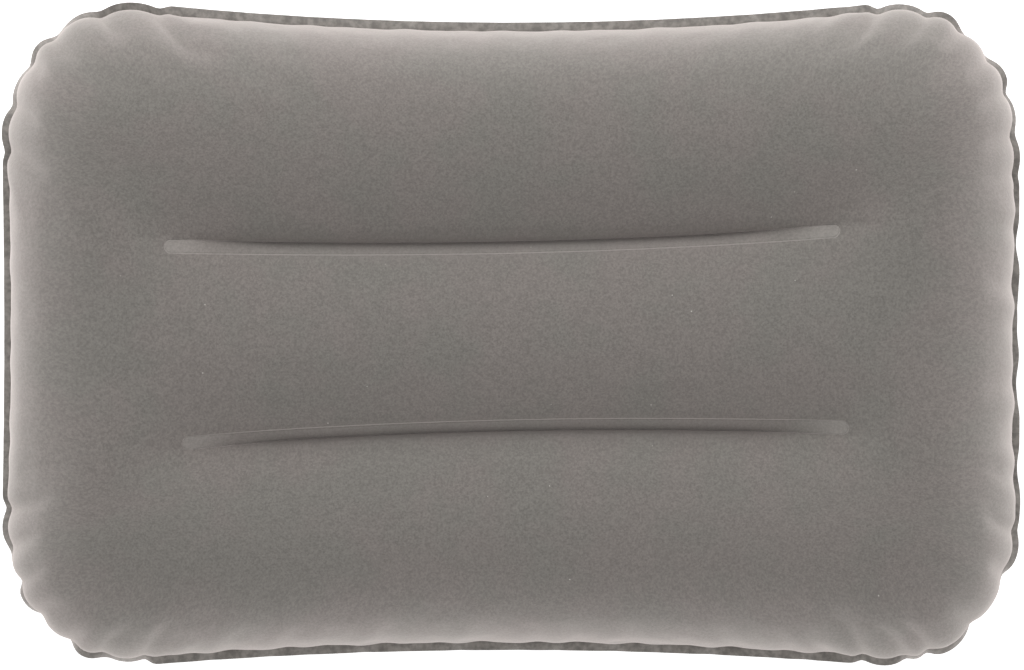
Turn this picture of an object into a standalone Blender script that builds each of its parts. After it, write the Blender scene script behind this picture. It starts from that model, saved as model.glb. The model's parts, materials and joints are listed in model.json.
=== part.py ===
"""Inflatable camp pillow: two welded sheets, two inner baffles and a push-in pinch valve.

The pillow lies on the XY plane with its length along X. Both sheets are welded together in a
narrow flange at mid-height. Two baffle strips tie the top sheet to the bottom one, so that the
inflated section is three lobes, each a circle centred on the mid-plane. The valve sits under
the +X end and points out and down. Every length is in metres.
"""

import math

import bmesh
import bpy
from mathutils import Matrix, Vector

# Pillow, overall, inflated
LENGTH = 0.430
WIDTH = 0.281
CORNER_RADIUS = 0.060
LONG_SIDE_BOW = 0.008
SHORT_SIDE_BOW = 0.002

# Sheets and their welds
SHEET = 0.0005
FLANGE_WIDTH = 0.005
GAP = 0.0003
SETTLE = 0.0009
REST_ROW = 0.006

# Baffles
BAFFLE_SPACING = 0.080
BAFFLE_HEIGHT = 0.055
BAFFLE_TO_NOSE = 0.0134
WELD_BAND = 0.006
BAFFLE_CLEARANCE = 0.0006
CREASE_FADE_POWER = 6

# Valve, measured from its own axis and from the seat on the bottom sheet
VALVE_TILT = math.radians(35)
SEAT_DEPTH = 0.0016
SEAT_MARGIN = 0.005
SEAT_BLEND = 0.009
BASE_LIP = 0.0042
BASE_THICKNESS = 0.0012
NECK_WALL = 0.0012
NECK_DEPTH = 0.0085
STEM_RADIUS = 0.0063
STEM_WALL = 0.0025
STEM_TRAVEL = 0.009
RUNNING_GAP = 0.0003
RIM_LIP = 0.0032
RIM_THICKNESS = 0.0014
BEAD_LIP = 0.0011
BEAD_HEIGHT = 0.0012
CAP_LIP = 0.0022
CAP_THICKNESS = 0.0018
SPIGOT_LENGTH = 0.0040
SPIGOT_TAPER = 0.0008
STRAP_WIDTH = 0.0050
STRAP_THICKNESS = 0.0010
STRAP_SETBACK = 0.0007
FLAP_LAP = 0.0012
FLAP_THICKNESS = 0.0006
FLAP_SETBACK = 0.0003
FLAP_TAIL_WIDTH = 0.0060

# Mesh resolution
CELLS_ALONG_BAFFLE = 16
CELLS_PAST_BAFFLE = 1
ROWS_ACROSS_MIDDLE = 2
ROWS_ACROSS_OUTER = 3
NOSE_RINGS = 6
SEAT_CUTS = 2
TURNED_SIDES = 28

# Sizes that follow from the ones above
CREASE_Y = BAFFLE_SPACING / 2
CREASE_HEIGHT = BAFFLE_HEIGHT / 2
SEAM_Y = WIDTH / 2 - LONG_SIDE_BOW - FLANGE_WIDTH
SEAM_X = LENGTH / 2 - SHORT_SIDE_BOW - FLANGE_WIDTH
OUTER_LOBE_WIDTH = SEAM_Y - CREASE_Y
OUTER_LOBE_RADIUS = (OUTER_LOBE_WIDTH**2 + CREASE_HEIGHT**2) / (2 * OUTER_LOBE_WIDTH)
MIDDLE_LOBE_RADIUS = math.hypot(CREASE_Y, CREASE_HEIGHT)
APEX_Y = SEAM_Y - OUTER_LOBE_RADIUS
APEX_X = SEAM_X - OUTER_LOBE_RADIUS
BAFFLE_END_X = APEX_X - BAFFLE_TO_NOSE
MID_PLANE = max(OUTER_LOBE_RADIUS, MIDDLE_LOBE_RADIUS) - SETTLE
FLANGE_TOP = GAP / 2 + SHEET
BASE_BORE_RADIUS = STEM_RADIUS + RUNNING_GAP
NECK_RADIUS = BASE_BORE_RADIUS + NECK_WALL
BASE_RADIUS = NECK_RADIUS + BASE_LIP
VALVE_HOLE_RADIUS = NECK_RADIUS + GAP
STEM_BORE_RADIUS = STEM_RADIUS - STEM_WALL
RIM_RADIUS = STEM_RADIUS + RIM_LIP
BEAD_RADIUS = STEM_RADIUS + BEAD_LIP
CAP_RADIUS = STEM_BORE_RADIUS + CAP_LIP
STRAP_REACH = RIM_RADIUS - STRAP_SETBACK
FLAP_RADIUS = STEM_BORE_RADIUS + FLAP_LAP
FLAP_TAIL = STEM_RADIUS - FLAP_SETBACK
SPIGOT_RADIUS = STEM_BORE_RADIUS - RUNNING_GAP
RIM_FACE = GAP + BASE_THICKNESS + GAP + RIM_THICKNESS
STEM_END = -NECK_DEPTH - STEM_TRAVEL - 2 * BEAD_HEIGHT - GAP


def clear_scene():
    """Remove every object of the startup scene."""
    for item in list(bpy.data.objects):
        bpy.data.objects.remove(item)


def material(name, color, roughness):
    """Return a Principled material with this linear colour and roughness."""
    result = bpy.data.materials.new(name)
    result.use_nodes = True
    shader = result.node_tree.nodes["Principled BSDF"]
    shader.inputs["Base Color"].default_value = (*color, 1.0)
    shader.inputs["Roughness"].default_value = roughness
    shader.inputs["Metallic"].default_value = 0.0
    return result


def object_from(name, mesh_builder, finish, parent=None):
    """Turn a bmesh into a smooth-shaded object and free the bmesh."""
    mesh = bpy.data.meshes.new(name)
    mesh_builder.to_mesh(mesh)
    mesh_builder.free()
    mesh.materials.append(finish)
    mesh.shade_smooth()
    mesh.set_sharp_from_angle(angle=math.radians(40))
    result = bpy.data.objects.new(name, mesh)
    result.parent = parent
    bpy.context.scene.collection.objects.link(result)
    return result


def closed_object(name, mesh_builder, finish, parent=None):
    """Turn a closed bmesh into an object whose faces all point out."""
    bmesh.ops.recalc_face_normals(mesh_builder, faces=mesh_builder.faces)
    return object_from(name, mesh_builder, finish, parent)


def frame_empty(name, placement, parent=None):
    """Add an empty, which carries a joint's axis or a sub-assembly's frame."""
    result = bpy.data.objects.new(name, None)
    result.empty_display_size = 0.01
    result.parent = parent
    result.matrix_local = placement
    bpy.context.scene.collection.objects.link(result)
    return result


def thicken(sheet):
    """Give a sheet its thickness on the side away from its normals, even across its folds."""
    modifier = sheet.modifiers.new("Thickness", "SOLIDIFY")
    modifier.thickness = SHEET
    modifier.offset = -1.0
    modifier.use_even_offset = True


def spaced(start, end, cells):
    """Return the cell boundaries from start up to, and without, end."""
    return [start + (end - start) * step / cells for step in range(cells)]


def stations_x():
    """Return the X stations of the sheets: even along the baffles, then out to the nose."""
    half = [*spaced(0.0, BAFFLE_END_X, CELLS_ALONG_BAFFLE // 2)]
    half += [*spaced(BAFFLE_END_X, APEX_X, CELLS_PAST_BAFFLE), APEX_X]
    return [-x for x in reversed(half[1:])] + half


def stations_y():
    """Return the Y stations of the sheets.

    There is a row at each edge of each weld band, and of the strip that each lobe rests on.
    """
    half = [0.0, *spaced(REST_ROW, CREASE_Y - WELD_BAND, ROWS_ACROSS_MIDDLE)]
    half += [CREASE_Y - WELD_BAND, *spaced(CREASE_Y, APEX_Y - REST_ROW, ROWS_ACROSS_OUTER)]
    half += [APEX_Y - REST_ROW, APEX_Y]
    return [-y for y in reversed(half[1:])] + half


def section_height(y):
    """Return the height of the three-lobed section above the mid-plane."""
    across = abs(y)
    if across < CREASE_Y:
        return math.sqrt(MIDDLE_LOBE_RADIUS**2 - across**2)
    return math.sqrt(OUTER_LOBE_RADIUS**2 - (across - APEX_Y) ** 2)


def skin_height(x, y):
    """Return the height of the sheet's outer face, with the creases fading out at their ends."""
    crease = 1 - (abs(x) / APEX_X) ** CREASE_FADE_POWER
    return OUTER_LOBE_RADIUS + crease * (section_height(y) - OUTER_LOBE_RADIUS)


def outline(inset, cells_x, cells_y):
    """Return points round a rounded rectangle with bowed sides, inset from the pillow's edge.

    Each side runs from the middle of one corner to the middle of the next, so that the points
    pair up with those round the inner grid, starting at its (-X, -Y) corner.
    """
    radius = CORNER_RADIUS - inset
    core_x = LENGTH / 2 - CORNER_RADIUS
    core_y = WIDTH / 2 - CORNER_RADIUS
    half_arc = radius * math.pi / 4
    points = []
    for turn in range(4):
        along = Matrix.Rotation(turn * math.pi / 2, 2) @ Vector((1.0, 0.0))
        outward = Vector((along.y, -along.x))
        is_long = turn % 2 == 0
        half_run, half_other = (core_x, core_y) if is_long else (core_y, core_x)
        cells, bow = (cells_x, LONG_SIDE_BOW) if is_long else (cells_y, SHORT_SIDE_BOW)
        total = 2 * half_arc + 2 * half_run
        for step in range(cells):
            travelled = total * step / cells
            run = min(max(travelled - half_arc, 0.0), 2 * half_run) - half_run
            centre = along * run + outward * half_other
            over = min(travelled - half_arc, 0.0) + max(travelled - half_arc - 2 * half_run, 0.0)
            angle = over / radius
            inward = bow * (1 - (run / half_run) ** 2)
            direction = along * math.sin(angle) + outward * math.cos(angle)
            points.append(centre + direction * radius - outward * inward)
    return points


def grid_perimeter(last_x, last_y):
    """Return the grid's boundary indices, counter-clockwise from its (-X, -Y) corner."""
    south = [(i, 0) for i in range(last_x)]
    east = [(last_x, j) for j in range(last_y)]
    north = [(i, last_y) for i in range(last_x, 0, -1)]
    west = [(0, j) for j in range(last_y, 0, -1)]
    return south + east + north + west


def sheet_bmesh():
    """Build the top sheet's outer face over the mid-plane, from crown to flange, facing up."""
    builder = bmesh.new()
    xs, ys = stations_x(), stations_y()
    grid = [[builder.verts.new((x, y, skin_height(x, y))) for y in ys] for x in xs]
    for i in range(len(xs) - 1):
        for j in range(len(ys) - 1):
            builder.faces.new((grid[i][j], grid[i + 1][j], grid[i + 1][j + 1], grid[i][j + 1]))

    split_upwards(builder)

    cells_x, cells_y = len(xs) - 1, len(ys) - 1
    inner = [grid[i][j] for i, j in grid_perimeter(cells_x, cells_y)]
    seam = outline(FLANGE_WIDTH, cells_x, cells_y)
    ring_above = inner
    for ring in range(1, NOSE_RINGS + 1):
        angle = math.pi / 2 * ring / NOSE_RINGS
        height = FLANGE_TOP + (OUTER_LOBE_RADIUS - FLANGE_TOP) * math.cos(angle)
        below = []
        for top, edge in zip(inner, seam):
            place = top.co.to_2d().lerp(edge, math.sin(angle))
            below.append(builder.verts.new((place.x, place.y, height)))
        bridge(builder, ring_above, below)
        ring_above = below

    edge_points = outline(0.0, cells_x, cells_y)
    edge = [builder.verts.new((point.x, point.y, FLANGE_TOP)) for point in edge_points]
    bridge(builder, ring_above, edge)
    return builder


def split_upwards(builder):
    """Split each cell along its higher diagonal, so that a strip under the sheet stays clear."""
    for face in list(builder.faces):
        first, second, third, fourth = face.verts
        if first.co.z + third.co.z > second.co.z + fourth.co.z:
            bmesh.utils.face_split(face, first, third)
        else:
            bmesh.utils.face_split(face, second, fourth)


def bridge(builder, upper, lower):
    """Join two rings of vertices with quads."""
    count = len(upper)
    for k in range(count):
        following = (k + 1) % count
        builder.faces.new((upper[k], lower[k], lower[following], upper[following]))


def seat_placement():
    """Return the valve's frame: its Z out of the pillow and its X up along the nose."""
    outward = Vector((math.cos(VALVE_TILT), 0.0, -math.sin(VALVE_TILT)))
    upward = Vector((math.sin(VALVE_TILT), 0.0, math.cos(VALVE_TILT)))
    sideways = outward.cross(upward)
    nose_centre = Vector((APEX_X, 0.0, MID_PLANE))
    seat = nose_centre + outward * (OUTER_LOBE_RADIUS - SEAT_DEPTH)
    columns = Matrix((upward, sideways, outward)).transposed()
    return Matrix.Translation(seat) @ columns.to_4x4()


def flatten_seat(builder, placement):
    """Pull the sheet onto a flat round seat under the valve's base, blending out round it."""
    into_seat = placement.inverted()
    flat_radius = BASE_RADIUS + SEAT_MARGIN
    blend_radius = flat_radius + SEAT_BLEND
    near = [
        face
        for face in builder.faces
        if (into_seat @ face.calc_center_median()).length < blend_radius
    ]
    edges = {edge for face in near for edge in face.edges}
    bmesh.ops.subdivide_edges(builder, edges=list(edges), cuts=SEAT_CUTS, use_grid_fill=True)
    for vert in builder.verts:
        local = into_seat @ vert.co
        radius = local.to_2d().length
        if radius >= blend_radius or local.z < -BASE_RADIUS:
            continue
        away = max(radius - flat_radius, 0.0) / SEAT_BLEND
        local.z *= away * away * (3 - 2 * away)
        vert.co = placement @ local


def add_top_panel(finish):
    """Add the flocked top sheet."""
    builder = sheet_bmesh()
    for vert in builder.verts:
        vert.co.z += MID_PLANE
    panel = object_from("top_panel", builder, finish)
    thicken(panel)


def add_bottom_panel(finish, valve_placement):
    """Add the bottom sheet, flat where it rests, with its valve seat and hole."""
    builder = sheet_bmesh()
    for vert in builder.verts:
        vert.co.z = max(MID_PLANE - vert.co.z, 0.0)
    bmesh.ops.reverse_faces(builder, faces=builder.faces)
    flatten_seat(builder, valve_placement)
    panel = object_from("bottom_panel", builder, finish)
    thicken(panel)

    cutter_builder = bmesh.new()
    bmesh.ops.create_cone(
        cutter_builder,
        cap_ends=True,
        segments=TURNED_SIDES,
        radius1=VALVE_HOLE_RADIUS,
        radius2=VALVE_HOLE_RADIUS,
        depth=2 * SEAT_MARGIN,
        matrix=valve_placement,
    )
    cutter = closed_object("valve_hole_cutter", cutter_builder, finish)
    cutter.hide_render = True
    cutter.display_type = "WIRE"
    hole = panel.modifiers.new("Valve hole", "BOOLEAN")
    hole.operation = "DIFFERENCE"
    hole.object = cutter


def add_baffle(name, side, finish):
    """Add one C-section baffle strip, whose two weld bands face the pillow's centre."""
    builder = bmesh.new()
    columns = []
    for x in stations_x():
        if abs(x) > BAFFLE_END_X + GAP:
            continue
        crease = Vector((CREASE_Y, skin_height(x, CREASE_Y)))
        band_edge = Vector((CREASE_Y - WELD_BAND, skin_height(x, CREASE_Y - WELD_BAND)))
        slope = (band_edge - crease).normalized()
        inset = Vector((-slope.y, slope.x)) * (SHEET + BAFFLE_CLEARANCE)
        upper = [band_edge + inset, crease + inset]
        section = upper + [Vector((point.x, -point.y)) for point in reversed(upper)]
        columns.append(
            [builder.verts.new((x, side * point.x, MID_PLANE + point.y)) for point in section]
        )
    for left, right in zip(columns, columns[1:]):
        for k in range(len(left) - 1):
            builder.faces.new((left[k], right[k], right[k + 1], left[k + 1]))
    if side < 0:
        bmesh.ops.reverse_faces(builder, faces=builder.faces)
    thicken(object_from(name, builder, finish))


def turned(name, profile, finish, parent):
    """Add a solid of revolution about local Z from a closed profile of (radius, height)."""
    builder = bmesh.new()
    verts = [builder.verts.new((radius, 0.0, height)) for radius, height in profile]
    edges = [builder.edges.new(pair) for pair in zip(verts, verts[1:])]
    on_axis = profile[0][0] == 0.0 and profile[-1][0] == 0.0
    if not on_axis:
        edges.append(builder.edges.new((verts[-1], verts[0])))
    bmesh.ops.spin(
        builder,
        geom=verts + edges,
        axis=(0.0, 0.0, 1.0),
        cent=(0.0, 0.0, 0.0),
        angle=math.tau,
        steps=TURNED_SIDES,
        use_merge=True,
    )
    bmesh.ops.remove_doubles(builder, verts=builder.verts, dist=1e-6)
    return closed_object(name, builder, finish, parent)


def extruded(name, points, bottom, top, finish, parent):
    """Add a prism from an outline of (x, y) points, between two local heights."""
    builder = bmesh.new()
    face = builder.faces.new([builder.verts.new((x, y, bottom)) for x, y in points])
    raised = bmesh.ops.extrude_face_region(builder, geom=[face])["geom"]
    verts = [item for item in raised if isinstance(item, bmesh.types.BMVert)]
    bmesh.ops.translate(builder, verts=verts, vec=(0.0, 0.0, top - bottom))
    return closed_object(name, builder, finish, parent)


def add_valve_base(finish, valve):
    """Add the disc welded over the sheet's hole, with the neck that guides the stem."""
    edge = BASE_THICKNESS / 3
    face = GAP + BASE_THICKNESS
    profile = [
        (BASE_BORE_RADIUS, face),
        (BASE_RADIUS - 2 * edge, face),
        (BASE_RADIUS - edge / 2, face - edge / 2),
        (BASE_RADIUS, face - 2 * edge),
        (BASE_RADIUS, GAP),
        (NECK_RADIUS, GAP),
        (NECK_RADIUS, -NECK_DEPTH),
        (BASE_BORE_RADIUS, -NECK_DEPTH),
    ]
    turned("valve_base", profile, finish, valve)


def add_valve_stem(finish, valve):
    """Add the blow tube, with its finger rim outside and its stop bead inside the neck."""
    edge = RIM_THICKNESS / 4
    under_rim = RIM_FACE - RIM_THICKNESS
    profile = [
        (STEM_BORE_RADIUS, RIM_FACE),
        (RIM_RADIUS - edge, RIM_FACE),
        (RIM_RADIUS, RIM_FACE - edge),
        (RIM_RADIUS, under_rim + edge),
        (RIM_RADIUS - edge, under_rim),
        (STEM_RADIUS, under_rim),
        (STEM_RADIUS, STEM_END + 2 * BEAD_HEIGHT),
        (BEAD_RADIUS, STEM_END + BEAD_HEIGHT),
        (BEAD_RADIUS, STEM_END),
        (STEM_BORE_RADIUS, STEM_END),
    ]
    turned("valve_stem", profile, finish, valve)


def add_plug(finish, hinge):
    """Add the stopper: a cap on the stem's rim over a tapered spigot in its bore."""
    rim_face = -STRAP_THICKNESS / 2 - GAP
    edge = CAP_THICKNESS / 4
    under_cap = rim_face + GAP
    top = under_cap + CAP_THICKNESS
    tip = rim_face - SPIGOT_LENGTH
    tip_radius = SPIGOT_RADIUS - SPIGOT_TAPER
    profile = [
        (0.0, top),
        (CAP_RADIUS - 2 * edge, top),
        (CAP_RADIUS - edge / 2, top - edge / 2),
        (CAP_RADIUS, top - 2 * edge),
        (CAP_RADIUS, under_cap + edge),
        (CAP_RADIUS - edge, under_cap),
        (SPIGOT_RADIUS, under_cap),
        (SPIGOT_RADIUS, rim_face),
        (tip_radius, tip + edge),
        (tip_radius - edge, tip),
        (0.0, tip),
    ]
    plug = turned("valve_plug", profile, finish, hinge)
    plug.location.x = -STRAP_REACH


def add_plug_strap(finish, hinge):
    """Add the flat strap from the cap to the rim, round-ended about the line it bends on."""
    half = STRAP_THICKNESS / 2
    steps = 6
    side_view = [(-STRAP_REACH + CAP_RADIUS + GAP, half), (-STRAP_REACH + CAP_RADIUS + GAP, -half)]
    for step in range(steps + 1):
        angle = -math.pi / 2 + math.pi * step / steps
        side_view.append((half * math.cos(angle), half * math.sin(angle)))
    builder = bmesh.new()
    near_side = [builder.verts.new((x, -STRAP_WIDTH / 2, z)) for x, z in side_view]
    face = builder.faces.new(near_side)
    raised = bmesh.ops.extrude_face_region(builder, geom=[face])["geom"]
    verts = [item for item in raised if isinstance(item, bmesh.types.BMVert)]
    bmesh.ops.translate(builder, verts=verts, vec=(0.0, STRAP_WIDTH, 0.0))
    closed_object("plug_strap", builder, finish, hinge)


def add_check_flap(finish, hinge):
    """Add the one-way flap over the stem's inner end, with a square tail on its hinge."""
    steps = 16
    opening = math.asin(FLAP_TAIL_WIDTH / 2 / FLAP_RADIUS)
    points = [(0.0, -FLAP_TAIL_WIDTH / 2)]
    for step in range(steps + 1):
        angle = -math.pi + opening + (math.tau - 2 * opening) * step / steps
        points.append((FLAP_TAIL + FLAP_RADIUS * math.cos(angle), FLAP_RADIUS * math.sin(angle)))
    points.append((0.0, FLAP_TAIL_WIDTH / 2))
    half = FLAP_THICKNESS / 2
    extruded("check_flap", points, -half, half, finish, hinge)


def build():
    """Model the whole pillow."""
    clear_scene()
    flocked = material("flocked_pvc", (0.19, 0.176, 0.165), 0.95)
    plain = material("plain_pvc", (0.085, 0.083, 0.082), 0.6)
    film = material("baffle_film", (0.25, 0.25, 0.25), 0.5)
    soft = material("soft_moulded_pvc", (0.06, 0.06, 0.06), 0.4)
    clear_film = material("flap_film", (0.5, 0.5, 0.5), 0.3)

    placement = seat_placement()
    add_top_panel(flocked)
    add_bottom_panel(plain, placement)
    add_baffle("rear_baffle", 1.0, film)
    add_baffle("front_baffle", -1.0, film)

    valve = frame_empty("valve_frame", placement)
    add_valve_base(soft, valve)
    add_valve_stem(soft, valve)

    hinge_height = RIM_FACE + GAP + STRAP_THICKNESS / 2
    plug_hinge = frame_empty(
        "plug_hinge", Matrix.Translation((STRAP_REACH, 0.0, hinge_height)), valve
    )
    add_plug(soft, plug_hinge)
    add_plug_strap(soft, plug_hinge)

    flap_height = STEM_END - GAP - FLAP_THICKNESS / 2
    flap_hinge = frame_empty(
        "flap_hinge", Matrix.Translation((-FLAP_TAIL, 0.0, flap_height)), valve
    )
    add_check_flap(clear_film, flap_hinge)


build()
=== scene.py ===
"""Camp pillow, inflated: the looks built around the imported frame.

Two PVC panels are welded round the rim and held together by two inner strips. The script lays out their
cut, sets them in their lobed shape, swells that as cloth under air pressure, and turns the result into thin
closed shells. The cut places the nap, the weld bands and the folds. The valve on the underside has the
sizes of the frame's valve and sits on its joints, so that it still slides, flips and flaps.
"""

from __future__ import annotations

import json
import logging
import math
from dataclasses import dataclass, field
from enum import Enum
from functools import partial
from typing import Any, Iterable, Sequence

import bmesh
import bpy
import numpy as np
from mathutils import Matrix, Vector

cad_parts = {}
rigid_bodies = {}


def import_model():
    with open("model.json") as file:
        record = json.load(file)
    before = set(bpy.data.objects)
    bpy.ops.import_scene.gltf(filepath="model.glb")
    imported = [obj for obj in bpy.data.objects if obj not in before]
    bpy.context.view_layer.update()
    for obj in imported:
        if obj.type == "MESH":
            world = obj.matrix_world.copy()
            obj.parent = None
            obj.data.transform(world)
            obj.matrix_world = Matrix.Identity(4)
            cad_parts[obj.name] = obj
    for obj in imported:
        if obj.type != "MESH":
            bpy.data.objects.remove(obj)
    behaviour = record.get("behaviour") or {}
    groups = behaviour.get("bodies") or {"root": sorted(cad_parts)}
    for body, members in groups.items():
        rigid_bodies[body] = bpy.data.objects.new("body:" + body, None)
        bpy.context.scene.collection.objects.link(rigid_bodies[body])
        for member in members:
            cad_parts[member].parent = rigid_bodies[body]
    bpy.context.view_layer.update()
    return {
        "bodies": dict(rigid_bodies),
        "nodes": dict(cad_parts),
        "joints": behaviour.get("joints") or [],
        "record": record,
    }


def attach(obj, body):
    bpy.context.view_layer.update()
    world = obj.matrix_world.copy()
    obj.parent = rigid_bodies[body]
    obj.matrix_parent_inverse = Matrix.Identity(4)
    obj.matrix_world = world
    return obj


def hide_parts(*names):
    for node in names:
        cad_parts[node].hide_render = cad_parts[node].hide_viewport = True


Place = tuple[float, float, float]
LOG = logging.getLogger("pillow")
MM = 0.001
SHEET = 0.42 * MM  # a panel's film with its flock
SHEET_GAP = 0.10 * MM  # between the two panels on the flange
MID_PLANE = 47.64 * MM  # the weld line's height over the table
FLAT_ATTRIBUTE = "flat_pattern"  # a point's place on the cut
RIM_ATTRIBUTE = "past_the_weld"  # how far outside the weld line it lies
LAYER = 0.5 * MM  # how far each panel's cut lies above or below the middle plane


def smoothstep(low: float, high: float, value: np.ndarray | float) -> np.ndarray:
    """An eased ramp.

    Args:
        low: where the ramp starts, at 0.
        high: where it ends, at 1.
        value: the numbers to place on it.

    Returns:
        Numbers from 0 to 1.
    """
    t = np.clip((np.asarray(value, float) - low) / (high - low), 0.0, 1.0)
    return t * t * (3.0 - 2.0 * t)


@dataclass(frozen=True)
class Ripple:
    """A repeatable irregular wave along a line, made of three sines.

    Attributes:
        wavelength: the main wave's length, in metres.
        height: the wave's usual height either way, in metres or radians.
        seed: picks the phases.
    """

    wavelength: float
    height: float
    seed: int

    def at(self, along: np.ndarray) -> np.ndarray:
        """The wave's height at each place along the line."""
        random = np.random.default_rng(self.seed)
        total = np.zeros_like(along)
        for share, stretch in ((0.62, 1.0), (0.38, 0.63), (0.30, 1.71)):
            phase = random.uniform(0.0, 2.0 * math.pi)
            total += share * np.sin(2.0 * math.pi * along / (self.wavelength * stretch) + phase)
        return total * self.height


# ---------------------------------------------------------------- the cut pattern and the seam


class Corner(Enum):
    """The four corners, as the signs of X and Y."""

    REAR_LEFT = (-1, 1)
    REAR_RIGHT = (1, 1)
    FRONT_LEFT = (-1, -1)
    FRONT_RIGHT = (1, -1)


# Where each corner's gathers are nipped in: degrees round its centre, from its short side to its long one.
PUCKERS: dict[Corner, tuple[float, ...]] = {
    Corner.REAR_LEFT: (-6.0, 15.0, 36.0, 49.0, 72.0, 99.0),
    Corner.REAR_RIGHT: (-17.0, 3.0, 22.0, 37.0, 54.0, 69.0, 91.0),
    Corner.FRONT_LEFT: (-8.0, 10.0, 25.0, 41.0, 59.0, 72.5, 92.5),
    Corner.FRONT_RIGHT: (0.0, 20.5, 48.0, 69.0, 79.0, 98.0),
}


@dataclass(frozen=True)
class RoundedRectangle:
    """An outline walked anticlockwise from the corner at minus X, minus Y, in equal steps along each side.

    Attributes:
        length: its size along X.
        width: its size along Y.
        radius: its corner radius.
        rear_bow: how far the middle of the side at plus Y is drawn in.
        front_bow: the same for the side at minus Y.
        short_bow: the same for the short sides.
        bow_share: how much of a side the bow takes up.
    """

    length: float
    width: float
    radius: float
    rear_bow: float = 0.0
    front_bow: float = 0.0
    short_bow: float = 0.0
    bow_share: float = 0.86

    def walk(self, counts: tuple[int, int], easing: float = 0.0) -> tuple[np.ndarray, np.ndarray]:
        """Points and outward normals along the outline.

        Args:
            counts: the steps along a long side and along a short side, from mid-corner to mid-corner.
            easing: above 0, steps crowd together towards the corners, as gathered cloth does.

        Returns:
            (points, normals), each N by 2.
        """
        half_x, half_y, radius = self.length / 2, self.width / 2, self.radius
        arc = math.pi * radius / 4
        points: list[np.ndarray] = []
        normals: list[np.ndarray] = []
        sides = (
            ((-1, -1), (1, 0), counts[0], 2 * (half_x - radius)),
            ((1, -1), (0, 1), counts[1], 2 * (half_y - radius)),
            ((1, 1), (-1, 0), counts[0], 2 * (half_x - radius)),
            ((-1, 1), (0, -1), counts[1], 2 * (half_y - radius)),
        )
        for corner, along, count, straight in sides:
            along_v = np.array(along, float)
            out_v = np.array((along[1], -along[0]), float)
            centre = np.array((corner[0] * (half_x - radius), corner[1] * (half_y - radius)))
            whole = 2 * arc + straight
            for step in range(count):
                t = 2.0 * step / count - 1.0
                place = whole * (0.5 + 0.5 * t * (1.0 + easing * (1.0 - t * t)))
                if place < arc:
                    angle = place / radius - math.pi / 4
                    start = centre
                elif place < arc + straight:
                    angle = 0.0
                    start = centre + along_v * (place - arc)
                else:
                    angle = (place - arc - straight) / radius
                    start = centre + along_v * straight
                normal = along_v * math.sin(angle) + out_v * math.cos(angle)
                points.append(start + normal * radius)
                normals.append(normal)
        found = np.array(points)
        long_bow = np.where(found[:, 1] > 0, self.rear_bow, self.front_bow)
        found[:, 1] *= 1.0 - long_bow / half_y * self._bow(found[:, 0] / half_x)
        found[:, 0] *= 1.0 - self.short_bow / half_x * self._bow(found[:, 1] / half_y)
        return found, np.array(normals)

    def _bow(self, t: np.ndarray) -> np.ndarray:
        """1 at the middle of a side and 0 at the bow's ends."""
        return np.clip(1.0 - (t / self.bow_share) ** 2, 0.0, 1.0)


@dataclass(frozen=True)
class Baffle:
    """One inner strip, welded to both panels along a band.

    Attributes:
        name: the frame's node.
        row: where its weld lies across the flat pattern.
        slope: how far askew it was welded, as rise over run.
        start: the flat X of its left end.
        end: the flat X of its right end.
        side: which side of the fold the weld band lies on, 1 for plus Y.
        height: its height between the two panels; not used.
    """

    name: str
    row: float
    slope: float
    start: float
    end: float
    side: int
    height: float = 55.0 * MM


@dataclass(frozen=True)
class Pattern:
    """The panels' cut, weld line to weld line, and how finely it is meshed.

    Attributes:
        length: along X, between the weld lines.
        width: along Y, between the weld lines.
        corner_radius: of the weld line.
        flange: the strip welded flat outside the weld line.
        cell: the inner grid's spacing.
        inset: from the weld line to the inner grid.
        fine_rings: how far in from the weld line each closely stepped ring lies.
        coarse_rings: the same for the rings with half as many points.
        baffles: the inner strips, the rear one first.
    """

    length: float = 457.0 * MM
    width: float = 321.0 * MM
    corner_radius: float = 65.0 * MM
    flange: float = 4.6 * MM
    cell: float = 6.0 * MM
    inset: float = 44.0 * MM
    fine_rings: tuple[float, ...] = tuple(depth * MM for depth in (2.2, 5.0, 8.4, 12.2, 16.4, 21.0, 26.0))
    coarse_rings: tuple[float, ...] = (31.6 * MM, 37.6 * MM)
    baffles: tuple[Baffle, ...] = (
        Baffle("rear_baffle", 43.5 * MM, 0.0235, -151.0 * MM, 143.0 * MM, -1),
        Baffle("front_baffle", -46.6 * MM, 0.0235, -143.0 * MM, 147.0 * MM, 1),
    )


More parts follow.
